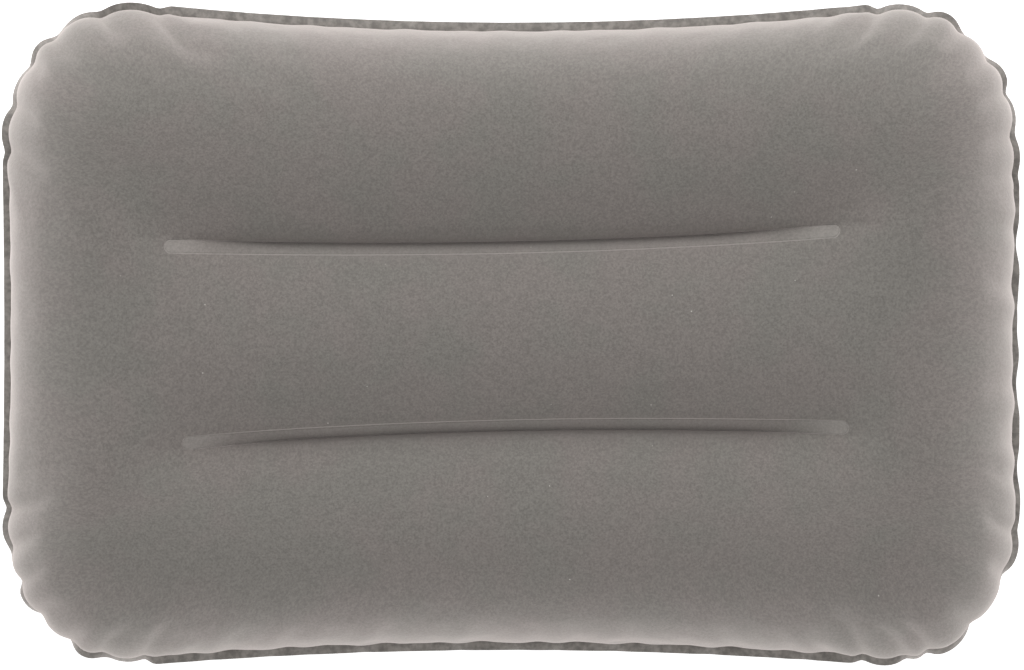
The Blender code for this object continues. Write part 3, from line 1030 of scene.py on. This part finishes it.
def mesh_object(
    name: str, points: Iterable[Sequence[float]], faces: Iterable[Sequence[int]]
) -> bpy.types.Object:
    """A new smooth-shaded mesh object in the scene.

    Args:
        name: its name.
        points: its vertices, in the row frame.
        faces: its faces.

    Returns:
        The object.
    """
    mesh = bpy.data.meshes.new(name)
    mesh.from_pydata([tuple(map(float, p)) for p in points], [], [tuple(f) for f in faces])
    mesh.update()
    mesh.shade_smooth()
    return linked(name, mesh)


def vectors(data: Any, name: str) -> np.ndarray:
    """One three-part property of every item of a mesh's data, N by 3."""
    values = np.empty(len(data) * 3, np.float32)
    data.foreach_get(name, values)
    return values.reshape(-1, 3)


def applied(obj: bpy.types.Object) -> bpy.types.Object:
    """Bakes an object's modifiers into its mesh, and returns it."""
    found = obj.evaluated_get(bpy.context.evaluated_depsgraph_get())
    mesh = bpy.data.meshes.new_from_object(found)
    obj.modifiers.clear()
    obj.data = mesh
    return obj


@dataclass(frozen=True)
class ValveSeat:
    """Where the valve sits: a local frame with X up the nose and Z out of it, read from the joints.

    Attributes:
        place: the local frame's matrix.
        strap_reach: how far along X the stopper's hinge lies.
        strap_level: how far along Z it lies.
        flat_radius: how far round the film is drawn onto the seat.
        blend_radius: where it is back to its own shape.
        hole_radius: the film's hole for the neck.
        reach: how far off the seat the film may lie and still be drawn onto it.
    """

    place: Matrix
    strap_reach: float = 8.8 * MM
    strap_level: float = 4.0 * MM
    flat_radius: float = 17.0 * MM
    blend_radius: float = 26.0 * MM
    hole_radius: float = 8.1 * MM
    reach: float = 20.0 * MM

    @classmethod
    def of(cls, joints: Iterable[dict[str, Any]]) -> ValveSeat:
        """The seat for these joints.

        Args:
            joints: the frame's joints.

        Returns:
            The seat whose Z is the stem's slide and whose Y is the stopper's hinge.
        """
        named = {joint["name"]: joint for joint in joints}
        out = Vector(named["stem_pull"]["axis"]).normalized()
        across = Vector(named["stopper_flip"]["axis"]).normalized()
        up = across.cross(out)
        origin = Vector(named["stopper_flip"]["pos_m"]) - up * cls.strap_reach - out * cls.strap_level
        place = Matrix((up, across, out)).transposed().to_4x4()
        place.translation = origin
        return cls(place)

    def flatten(self, points: np.ndarray) -> np.ndarray:
        """Points with those near the valve drawn onto its seat plane.

        Args:
            points: N by 3, in the row frame.

        Returns:
            The same points, moved along the valve's axis.
        """
        to_local = np.array(self.place.inverted())
        local = points @ to_local[:3, :3].T + to_local[:3, 3]
        away = np.hypot(local[:, 0], local[:, 1])
        near = np.abs(local[:, 2]) < self.reach
        pull = (1.0 - smoothstep(self.flat_radius, self.blend_radius, away)) * near
        local[:, 2] *= 1.0 - pull
        back = np.array(self.place)
        return local @ back[:3, :3].T + back[:3, 3]


def cleft(cut: np.ndarray, baffle: Baffle) -> np.ndarray:
    """How much deeper a stiff weld band pulls the film beside its fold.

    Args:
        cut: each point's place in the flat pattern.
        baffle: the strip welded there.

    Returns:
        A depth for each point: greatest on the fold, easing over the band, and short on its other side.
    """
    deepest = 5.0 * MM
    past_band = 9.0 * MM
    short_side = 2.6 * MM
    run_out = 55.0 * MM
    across = (cut[:, 1] - baffle.row - baffle.slope * cut[:, 0]) * baffle.side
    on_band = 1.0 - smoothstep(0.0, past_band, across)
    beside = np.exp(np.minimum(across, 0.0) / short_side)
    ends = smoothstep(0.0, run_out, cut[:, 0] - baffle.start)
    ends = ends * smoothstep(0.0, run_out, baffle.end - cut[:, 0])
    return deepest * np.where(across > 0, on_band, beside) * ends


def crease(mesh: bpy.types.Mesh, sharp: dict[tuple[int, int], float]) -> None:
    """Keeps edges sharp when the mesh is subdivided.

    Args:
        mesh: the mesh.
        sharp: how sharp each edge stays, from 0 to 1, by its two points' numbers, the lower one first.
    """
    amount = mesh.attributes.new("crease_edge", "FLOAT", "EDGE")
    for edge in mesh.edges:
        amount.data[edge.index].value = sharp.get(tuple(sorted(edge.vertices)), 0.0)


@dataclass
class Panel:
    """One panel with its half of the welded flange, as a thin closed shell.

    Attributes:
        node: the frame's node it stands for.
        key: its cells in the inflation.
        side: 1 for the top panel, -1 for the bottom one.
        finish: its material.
        slot: the record's slot; not used.
        seat: the valve's seat, where the panel has one.
        floor: how high the film's outer face would lie on the table before it is thickened.
        flange_steps: rings of faces across the flange.
        settling: how softly the lobes meet the table.
    """

    node: str
    key: str
    side: int
    finish: bpy.types.Material
    slot: str
    seat: ValveSeat | None = None
    floor: float = SHEET + SHEET_GAP / 2
    flange_steps: int = 3
    settling: float = 0.35 * MM

    def _flange(self, cloth: Inflation, places: np.ndarray) -> tuple[list[np.ndarray], list[float]]:
        """The flange outside the weld line, which leans more the further out it is.

        Args:
            cloth: the cut and the seam.
            places: every point's place once inflated.

        Returns:
            (each ring's points, how far outside the weld line each ring lies on the cut).
        """
        rings: list[np.ndarray] = []
        reaches: list[float] = []
        line = places[cloth.weld]
        part = cloth.pattern.flange / self.flange_steps
        for step in range(1, self.flange_steps + 1):
            lean = cloth.lines["tilt"] * (0.6 + 0.4 * step / self.flange_steps)
            out = np.column_stack((cloth.lines["normals"] * np.cos(lean)[:, None], np.sin(lean)))
            line = line + out * part
            rings.append(line)
            reaches.append(part * step)
        return rings, reaches

    def _settled(self, points: np.ndarray) -> np.ndarray:
        """Points eased up onto the floor, so that the lobes rest on narrow flats."""
        above = (points[:, 2] - self.floor) / self.settling
        points = points.copy()
        points[:, 2] = self.floor + self.settling * np.logaddexp(0.0, above)
        return points

    def build(self, cloth: Inflation, places: np.ndarray) -> bpy.types.Object:
        """Makes the shell.

        Args:
            cloth: the cut and its cells.
            places: every point's place once inflated.

        Returns:
            The finished piece, riding on the pillow body.
        """
        used = sorted({n for face in cloth.cells[self.key] for n in face})
        number = {n: k for k, n in enumerate(used)}
        flat = np.array(cloth.flat)
        points = places[used]
        cut = flat[used]
        to_rim = np.full(len(used), -cloth.pattern.inset)
        to_rim[[number[n] for n in cloth.weld]] = 0.0
        faces = [[number[n] for n in face] for face in cloth.cells[self.key]]
        ring = [number[n] for n in cloth.weld]
        rings, reaches = self._flange(cloth, places)
        for places_out, reach in zip(rings, reaches):
            start = len(points)
            new = list(range(start, start + len(ring)))
            outward = np.column_stack((cloth.lines["normals"] * reach, np.zeros(len(ring))))
            points = np.vstack((points, places_out))
            cut = np.vstack((cut, flat[cloth.weld] + outward))
            to_rim = np.append(to_rim, np.full(len(ring), reach))
            for k in range(len(ring)):
                after = (k + 1) % len(ring)
                face = [new[k], new[after], ring[after], ring[k]]
                faces.append(face if self.side > 0 else face[::-1])
            ring = new
        piece = mesh_object(self.node + "_skin", points, faces)
        mesh = piece.data
        mesh.attributes.new(FLAT_ATTRIBUTE, "FLOAT_VECTOR", "POINT").data.foreach_set("vector", cut.ravel())
        mesh.attributes.new(RIM_ATTRIBUTE, "FLOAT", "POINT").data.foreach_set("value", to_rim)
        crease(mesh, self._sharp(cloth, number))
        finer = piece.modifiers.new("finer", "SUBSURF")
        finer.levels = finer.render_levels = 1
        finer.boundary_smooth = "PRESERVE_CORNERS"
        applied(piece)
        self._shape(piece.data, cloth.pattern.baffles)
        shell = piece.modifiers.new("film", "SOLIDIFY")
        shell.thickness = SHEET
        shell.offset = 1.0
        if self.seat:
            cutter = self._seat_cutter(self.seat)
            hole = piece.modifiers.new("hole", "BOOLEAN")
            hole.object = cutter
            applied(piece)
            bpy.data.objects.remove(cutter)
        else:
            applied(piece)
        piece.data.shade_smooth()
        piece.data.set_sharp_from_angle(angle=math.radians(50))
        piece.data.materials.clear()
        piece.data.materials.append(self.finish)
        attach(piece, "pillow")
        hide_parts(self.node)
        return piece

    @staticmethod
    def _sharp(cloth: Inflation, number: dict[int, int]) -> dict[tuple[int, int], float]:
        """How sharp the folds over the baffles and the step onto the flange stay.

        Args:
            cloth: the folds and the weld line.
            number: this panel's own number for each of the cloth's points.

        Returns:
            A share for each edge, as crease takes it.
        """
        folds = [pair for fold in cloth.folds.values() for pair in fold if number.keys() >= set(pair)]
        weld = list(zip(cloth.weld, cloth.weld[1:] + cloth.weld[:1]))
        shares = [(pair, 1.0) for pair in folds] + [(pair, 0.7) for pair in weld]
        return {tuple(sorted((number[a], number[b]))): share for (a, b), share in shares}

    def _shape(self, mesh: bpy.types.Mesh, baffles: Iterable[Baffle]) -> None:
        """Parts the panels at the flange, deepens the folds, and lays the underside on table and valve.

        Args:
            mesh: the panel's smoothed film.
            baffles: the strips that make the folds.
        """
        points, normals, cut = (
            vectors(data, name)
            for data, name in (
                (mesh.vertices, "co"),
                (mesh.vertices, "normal"),
                (mesh.attributes[FLAT_ATTRIBUTE].data, "vector"),
            )
        )
        points = points + normals * (SHEET_GAP / 2)
        points[:, 2] -= self.side * sum(cleft(cut, baffle) for baffle in baffles)
        if self.side < 0:
            points = self._settled(points)
        if self.seat:
            points = self.seat.flatten(points + normals * SHEET) - normals * SHEET
        mesh.vertices.foreach_set("co", points.astype(np.float32).ravel())
        mesh.update()

    @staticmethod
    def _seat_cutter(seat: ValveSeat) -> bpy.types.Object:
        """A hidden rod through the film, where the valve's neck passes."""
        maker = bmesh.new()
        rod = dict(radius1=seat.hole_radius, radius2=seat.hole_radius, depth=12.0 * MM, segments=64)
        bmesh.ops.create_cone(maker, cap_ends=True, matrix=seat.place, **rod)
        mesh = bpy.data.meshes.new("cutter")
        maker.to_mesh(mesh)
        maker.free()
        cutter = linked("cutter", mesh)
        cutter.hide_render = True
        return cutter


@dataclass
class BaffleStrip:
    """One baffle between the two panels, as the inflation left it.

    Attributes:
        baffle: the strip.
        finish: its material.
        flat_height: its height on the cut; not used.
        film: its thickness.
        clear: how far inside the panels its welded edges stop.
    """

    baffle: Baffle
    finish: bpy.types.Material
    flat_height: float = 55.0 * MM
    film: float = 0.3 * MM
    clear: float = 0.35 * MM

    def build(self, cloth: Inflation, places: np.ndarray) -> bpy.types.Object:
        """Makes the strip, with its top and bottom edges just inside the panels.

        Args:
            cloth: the cut and its cells.
            places: every point's place once inflated.

        Returns:
            The finished piece, riding on the pillow body.
        """
        cells = cloth.cells[self.baffle.name]
        used = sorted({n for face in cells for n in face})
        number = {n: k for k, n in enumerate(used)}
        points = places[used].copy()
        edges = sorted({n for pair in cloth.folds[self.baffle.name] for n in pair})
        rows = [number[n] for n in edges]
        drop = self.clear + cleft(np.array(cloth.flat)[edges], self.baffle)
        points[rows, 2] -= np.copysign(drop, points[rows, 2] - MID_PLANE)
        faces = [[number[n] for n in face] for face in cells]
        piece = mesh_object(self.baffle.name + "_strip", points, faces)
        film = piece.modifiers.new("film", "SOLIDIFY")
        film.thickness = self.film
        film.offset = 0.0
        applied(piece)
        piece.data.materials.append(self.finish)
        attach(piece, "pillow")
        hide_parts(self.baffle.name)
        return piece


# ---------------------------------------------------------------- the valve


def turned(
    name: str, profile: Sequence[tuple[float, float]], place: Matrix, round_off: float
) -> bpy.types.Object:
    """A closed profile of (radius, height) turned about a frame's Z, with its corners rounded.

    Args:
        name: the piece's name.
        profile: its points, in order; points at radius 0 close on the axis.
        place: the frame it is turned in.
        round_off: the radius of the rounded corners.

    Returns:
        The piece.
    """
    sides = 96
    maker = bmesh.new()
    rings: list[list[bmesh.types.BMVert]] = []
    for radius, height in profile:
        if radius <= 0.0:
            rings.append([maker.verts.new((0.0, 0.0, height))])
            continue
        turns = (2.0 * math.pi * k / sides for k in range(sides))
        rings.append([maker.verts.new((radius * math.cos(a), radius * math.sin(a), height)) for a in turns])
    closed = rings[0] is not rings[-1] and len(rings[0]) > 1 and len(rings[-1]) > 1
    pairs = list(zip(rings[:-1], rings[1:])) + ([(rings[-1], rings[0])] if closed else [])
    for first, second in pairs:
        for k in range(sides):
            after = (k + 1) % sides
            steps = ((first, k), (first, after), (second, after), (second, k))
            corners = [ring[step % len(ring)] for ring, step in steps]
            kept = list(dict.fromkeys(corners))
            if len(kept) > 2:
                maker.faces.new(kept)
    bmesh.ops.recalc_face_normals(maker, faces=maker.faces[:])
    return finished(name, maker, place, round_off)


def finished(name: str, maker: bmesh.types.BMesh, place: Matrix, round_off: float) -> bpy.types.Object:
    """Turns a bmesh into a smooth-shaded object with rounded edges.

    Args:
        name: the piece's name.
        maker: its faces, in the local frame; it is freed.
        place: the local frame.
        round_off: the radius of the rounded edges.

    Returns:
        The piece.
    """
    mesh = bpy.data.meshes.new(name)
    maker.to_mesh(mesh)
    maker.free()
    piece = linked(name, mesh)
    rounding = piece.modifiers.new("rounding", "BEVEL")
    rounding.width = round_off
    rounding.segments = 3
    rounding.limit_method = "ANGLE"
    rounding.angle_limit = math.radians(35)
    applied(piece)
    piece.data.transform(place)
    piece.data.shade_smooth()
    piece.data.set_sharp_from_angle(angle=math.radians(40))
    return piece


@dataclass(frozen=True)
class Valve:
    """The blow valve: a welded base with its neck, a pull-out stem, a tethered stopper and a check flap.

    Attributes:
        seat: the local frame it is built in.
        moulded: the material of all but the flap.
        film: the flap's material.
        gap: the running gap between pieces.
        base_radius: the welded disc's.
        base_thickness: the welded disc's.
        neck_radius: the outside of the neck behind the disc.
        neck_depth: how far in the neck reaches.
        stem_radius: the outside of the blow tube.
        bore_radius: its inside.
        rim_radius: the finger rim's.
        rim_thickness: the finger rim's.
        stem_length: the blow tube's, rim and all.
        stop_bead: how far the bead at its inner end stands out.
        cap_radius: the stopper's cap.
        cap_thickness: the same cap.
        spigot_length: how far the stopper reaches into the bore.
        strap_width: the tether's.
        strap_thickness: the tether's.
        flap_radius: the check flap's.
        flap_thickness: the check flap's.
        flap_tail: half the width of its square tail.
    """

    seat: ValveSeat
    moulded: bpy.types.Material
    film: bpy.types.Material
    gap: float = 0.3 * MM
    base_radius: float = 12.0 * MM
    base_thickness: float = 1.2 * MM
    neck_radius: float = 7.8 * MM
    neck_depth: float = 8.5 * MM
    stem_radius: float = 6.3 * MM
    bore_radius: float = 3.8 * MM
    rim_radius: float = 9.5 * MM
    rim_thickness: float = 1.4 * MM
    stem_length: float = 24.0 * MM
    stop_bead: float = 1.1 * MM
    cap_radius: float = 6.0 * MM
    cap_thickness: float = 1.8 * MM
    spigot_length: float = 4.0 * MM
    strap_width: float = 5.0 * MM
    strap_thickness: float = 1.0 * MM
    flap_radius: float = 5.0 * MM
    flap_thickness: float = 0.5 * MM
    flap_tail: float = 3.0 * MM

    @property
    def rim_face(self) -> float:
        """The height of the stem's rim over the seat."""
        return 2 * self.gap + self.base_thickness + self.rim_thickness

    def _ride(self, piece: bpy.types.Object, body: str, node: str, slot: str) -> bpy.types.Object:
        """Dresses a piece and hands it to the frame.

        Args:
            piece: the piece.
            body: the body it rides on.
            node: the node it replaces.
            slot: the record's slot for it.

        Returns:
            The piece.
        """
        piece.data.materials.append(self.film if slot == "flap_film" else self.moulded)
        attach(piece, body)
        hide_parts(node)
        return piece

    def base(self) -> bpy.types.Object:
        """The disc welded over the film's hole, with a weld bead near its edge, and the neck behind it."""
        face = self.gap + self.base_thickness
        bore = self.stem_radius + self.gap
        bead = self.base_radius - 1.9 * MM
        profile = [
            (bore, face),
            (bead - 0.5 * MM, face),
            (bead - 0.5 * MM, face - 0.3 * MM),
            (bead + 0.5 * MM, face - 0.3 * MM),
            (bead + 0.5 * MM, face - 0.1 * MM),
            (self.base_radius - 0.4 * MM, face - 0.3 * MM),
            (self.base_radius, self.gap + 0.35 * MM),
            (self.base_radius, self.gap),
            (self.neck_radius, self.gap),
            (self.neck_radius, -self.neck_depth),
            (bore, -self.neck_depth),
        ]
        piece = turned("valve_base_disc", profile, self.seat.place, 0.12 * MM)
        return self._ride(piece, "pillow", "valve_base", "moulded_pvc")

    def stem(self) -> bpy.types.Object:
        """The blow tube, with a finger rim outside and a stop bead at its inner end."""
        top = self.rim_face
        under = top - self.rim_thickness
        end = top - self.stem_length
        bead = self.stem_radius + self.stop_bead
        profile = [
            (self.bore_radius, top),
            (self.rim_radius, top),
            (self.rim_radius, under),
            (self.stem_radius, under),
            (self.stem_radius, end + 2.4 * MM),
            (bead, end + 1.2 * MM),
            (bead, end),
            (self.bore_radius, end),
        ]
        piece = turned("valve_stem_tube", profile, self.seat.place, 0.28 * MM)
        return self._ride(piece, "stem", "valve_stem", "moulded_pvc")

    def stopper(self) -> bpy.types.Object:
        """The cap, a little dished on top, over a tapered spigot."""
        under = self.rim_face + self.gap
        top = under + self.cap_thickness
        tip = self.rim_face - self.spigot_length
        spigot = self.bore_radius - self.gap
        profile = [
            (0.0, top - 0.35 * MM),
            (self.cap_radius - 2.0 * MM, top - 0.30 * MM),
            (self.cap_radius - 1.4 * MM, top),
            (self.cap_radius, top - 0.15 * MM),
            (self.cap_radius, under),
            (spigot, under),
            (spigot, self.rim_face),
            (spigot - 0.8 * MM, tip),
            (0.0, tip),
        ]
        piece = turned("valve_stopper", profile, self.seat.place, 0.30 * MM)
        return self._ride(piece, "stopper", "valve_plug", "moulded_pvc")

    def strap(self) -> bpy.types.Object:
        """The flat tether from the cap to the rim, necked in where it bends."""
        level = self.seat.strap_level
        half = self.strap_thickness / 2
        hinge = self.seat.strap_reach
        start = self.cap_radius + self.gap
        maker = bmesh.new()
        rows: list[list[bmesh.types.BMVert]] = []
        stations = 12
        for step in range(stations + 1):
            t = step / stations
            x = start + (hinge + half - start) * t
            width = self.strap_width / 2 * (1.0 - 0.16 * math.sin(math.pi * t) ** 2)
            thick = half * math.sqrt(max(0.04, 1.0 - max(0.0, (x - hinge) / half) ** 2))
            corners = ((-width, -thick), (width, -thick), (width, thick), (-width, thick))
            rows.append([maker.verts.new((x, y, level + z)) for y, z in corners])
        for first, second in zip(rows[:-1], rows[1:]):
            for k in range(4):
                maker.faces.new((first[k], first[(k + 1) % 4], second[(k + 1) % 4], second[k]))
        maker.faces.new(rows[0])
        maker.faces.new(rows[-1])
        bmesh.ops.recalc_face_normals(maker, faces=maker.faces[:])
        piece = finished("stopper_strap", maker, self.seat.place, 0.18 * MM)
        return self._ride(piece, "stopper", "plug_strap", "moulded_pvc")

    def flap(self, joints: Iterable[dict[str, Any]]) -> bpy.types.Object:
        """The round film flap over the stem's inner end, with a square tail at its hinge.

        Args:
            joints: the frame's joints, which say where the hinge lies.

        Returns:
            The piece.
        """
        hinge = Vector(next(joint["pos_m"] for joint in joints if joint["name"] == "flap_swing"))
        local = self.seat.place.inverted() @ hinge
        half = self.flap_thickness / 2
        tail = self.flap_tail
        maker = bmesh.new()
        opening = math.asin(tail / self.flap_radius)
        rim = [(local.x, -tail)]
        steps = 48
        for step in range(steps + 1):
            angle = opening + (2.0 * math.pi - 2 * opening) * step / steps
            turn = angle + (math.pi if local.x < 0 else 0.0)
            rim.append((self.flap_radius * math.cos(turn), self.flap_radius * math.sin(turn)))
        rim.append((local.x, tail))
        face = maker.faces.new([maker.verts.new((x, y, local.z - half)) for x, y in rim])
        raised = bmesh.ops.extrude_face_region(maker, geom=[face])["geom"]
        lifted = [item for item in raised if isinstance(item, bmesh.types.BMVert)]
        bmesh.ops.translate(maker, verts=lifted, vec=(0.0, 0.0, 2 * half))
        bmesh.ops.recalc_face_normals(maker, faces=maker.faces[:])
        piece = finished("flap_disc", maker, self.seat.place, 0.08 * MM)
        return self._ride(piece, "flap", "check_flap", "flap_film")


# ---------------------------------------------------------------- the studio


@dataclass(frozen=True)
class Studio:
    """A pale lit table, an even sky and two large soft lights, the stronger one behind the pillow.

    Attributes:
        view_width: what the camera takes in across, at the weld line's height.
        lens: the focal length, in millimetres.
        sensor: the sensor's width, in millimetres.
        aim: the point on the table under the camera.
        sky: how bright the sky lights the pillow; the camera itself sees plain white.
        table_glow: how bright the table is lit from below.
        table_half: half the table's width.
        rear_lamp: its place, size and power in watts.
        front_lamp: the same for the weaker one.
    """

    view_width: float = 432.0 * MM
    lens: float = 200.0
    sensor: float = 36.0
    aim: tuple[float, float] = (0.4 * MM, -0.6 * MM)
    sky: float = 0.56
    table_glow: float = 0.75
    table_half: float = 3.0
    rear_lamp: tuple[Place, float, float] = ((0.0, 2.0, 1.3), 1.8, 41.0)
    front_lamp: tuple[Place, float, float] = ((-0.4, -1.9, 1.3), 1.6, 10.0)

    def build(self) -> None:
        """Sets out the table, lights, sky and camera."""
        self._table()
        self._light("rear_light", *self.rear_lamp)
        self._light("front_light", *self.front_lamp)
        scene = bpy.context.scene
        world = bpy.data.worlds.new("sky")
        world.use_nodes = True
        tree = world.node_tree
        seen = add_node(tree, "LightPath", output="Is Camera Ray")
        strength = add_node(tree, "Math", (seen, self.sky), operation="MAXIMUM")
        plug(tree, tree.nodes["Background"], {"Color": linear("#FFFFFF"), "Strength": strength})
        scene.world = world
        scene.view_settings.view_transform = "Standard"
        camera = bpy.data.cameras.new("camera")
        camera.lens = self.lens
        camera.sensor_width = self.sensor
        holder = linked("camera", camera)
        holder.location = (*self.aim, MID_PLANE + self.view_width * self.lens / self.sensor)
        scene.camera = holder

    def _table(self) -> None:
        """A white acrylic table, lit from below: matt, and so bright that shadows on it are faint."""
        half = self.table_half
        corners = [(-half, -half, 0.0), (half, -half, 0.0), (half, half, 0.0), (-half, half, 0.0)]
        table = mesh_object("table", corners, [(0, 1, 2, 3)])
        look = Shading("lit_acrylic")
        place = look.add("TexCoord", output="Object")
        cloudy = look.add("TexNoise", blotches(place, 0.3, 2.0, 0.5))
        colour = look.add("Mix", {0: cloudy, 6: linear("#F6F6F6"), 7: linear("#FAFAFA")}, BLENDED, **BLEND)
        glow = {"Emission_Color": linear("#FFFFFF"), "Emission_Strength": self.table_glow}
        table.data.materials.append(look.set(Base_Color=colour, Roughness=0.9, **glow))
        table.location.z = -SHEET_GAP / 2

    @staticmethod
    def _light(name: str, place: Place, size: float, power: float) -> None:
        """A square soft light that faces the pillow.

        Args:
            name: its name.
            place: where it stands.
            size: the side of the square.
            power: in watts.
        """
        lamp = bpy.data.lights.new(name, "AREA")
        lamp.size = size
        lamp.energy = power
        holder = linked(name, lamp)
        holder.location = place
        towards = Vector((0.0, 0.0, MID_PLANE)) - Vector(place)
        holder.rotation_euler = towards.to_track_quat("-Z", "Y").to_euler()


def report(piece: bpy.types.Object) -> None:
    """Logs a piece and its size."""
    size = [round(side / MM, 1) for side in piece.dimensions]
    LOG.info("%s: %d faces, %s mm", piece.name, len(piece.data.polygons), size)


def main() -> None:
    """Builds every piece in order."""
    logging.basicConfig(level=logging.INFO, format="%(name)s: %(message)s")
    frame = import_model()
    cloth = Inflation(Pattern(), Seam())
    cloth.build()
    places = cloth.settle(skip=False)
    seat = ValveSeat.of(frame["joints"])
    flocked = FlockedPvc().build(cloth.pattern.baffles)
    plain = PlainPvc().build()
    report(Panel("top_panel", "top", 1, flocked, "flocked_pvc").build(cloth, places))
    report(Panel("bottom_panel", "bottom", -1, plain, "plain_pvc", seat).build(cloth, places))
    inner = BaffleFilm().build()
    for baffle in cloth.pattern.baffles:
        report(BaffleStrip(baffle, inner).build(cloth, places))
    valve = Valve(seat, MouldedPvc().build(), FlapFilm().build())
    for piece in (valve.base(), valve.stem(), valve.stopper(), valve.strap(), valve.flap(frame["joints"])):
        report(piece)
    Studio().build()


if __name__ == "__main__":
    main()
